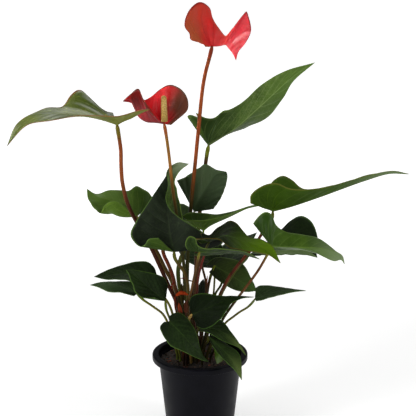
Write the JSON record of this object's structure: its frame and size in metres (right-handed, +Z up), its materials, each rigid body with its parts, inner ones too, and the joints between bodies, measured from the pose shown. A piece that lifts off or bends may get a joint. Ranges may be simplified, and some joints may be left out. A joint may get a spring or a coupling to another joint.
{
  "type": "potted plant",
  "caption": "Potted anthurium: a tapered nursery pot filled with peat, heart-shaped leaves on long stalks and waxy red spathes, each with a pale spadix.",
  "frame": {"origin": "centre of the pot's underside, on the surface the pot stands on", "axes": "+Z up, +X to the viewer's right and -Y towards the viewer in the seed picture"},
  "size_m": [0.5127, 0.2434, 0.5882],
  "materials": {
    "pot": "satin moulded polypropylene",
    "peat": "loose, matte peat mix",
    "leaf_green": "waxy satin leaf",
    "leaf_dark": "waxy satin leaf",
    "spathe": "glossy waxed spathe",
    "spadix": "fine-beaded matte",
    "sheath": "dry papery sheath"
  },
  "bodies": {
    "root": {"pot": "pot", "soil": "peat", "leaf_high_left": "leaf_green", "leaf_high_right": "leaf_green", "leaf_left": "leaf_green", "leaf_centre": "leaf_dark", "leaf_centre_rear": "leaf_green", "leaf_rear_upright": "leaf_dark", "leaf_middle_trough": "leaf_green", "leaf_front_strip": "leaf_green", "leaf_front_hump": "leaf_green", "leaf_right_long": "leaf_green", "leaf_right": "leaf_green", "leaf_right_rear": "leaf_dark", "leaf_rear_low": "leaf_green", "leaf_low_right": "leaf_dark", "leaf_low_front": "leaf_dark", "leaf_rim_upper": "leaf_dark", "leaf_rim_lower": "leaf_dark", "leaf_low_left_front": "leaf_dark", "leaf_low_left": "leaf_dark", "leaf_left_upper": "leaf_dark", "leaf_left_lower": "leaf_dark", "leaf_rear_dark": "leaf_dark", "leaf_rear_right": "leaf_dark", "leaf_rear_left": "leaf_dark", "leaf_rear_small": "leaf_dark", "leaf_soil_small": "leaf_green", "sheath_bent": "sheath", "sheath_left": "sheath", "sheath_olive": "sheath", "sheath_right": "sheath", "flower_top": "spathe", "spadix_top": "spadix", "flower_low": "spathe", "spadix_low": "spadix"}
  },
  "joints": []
}
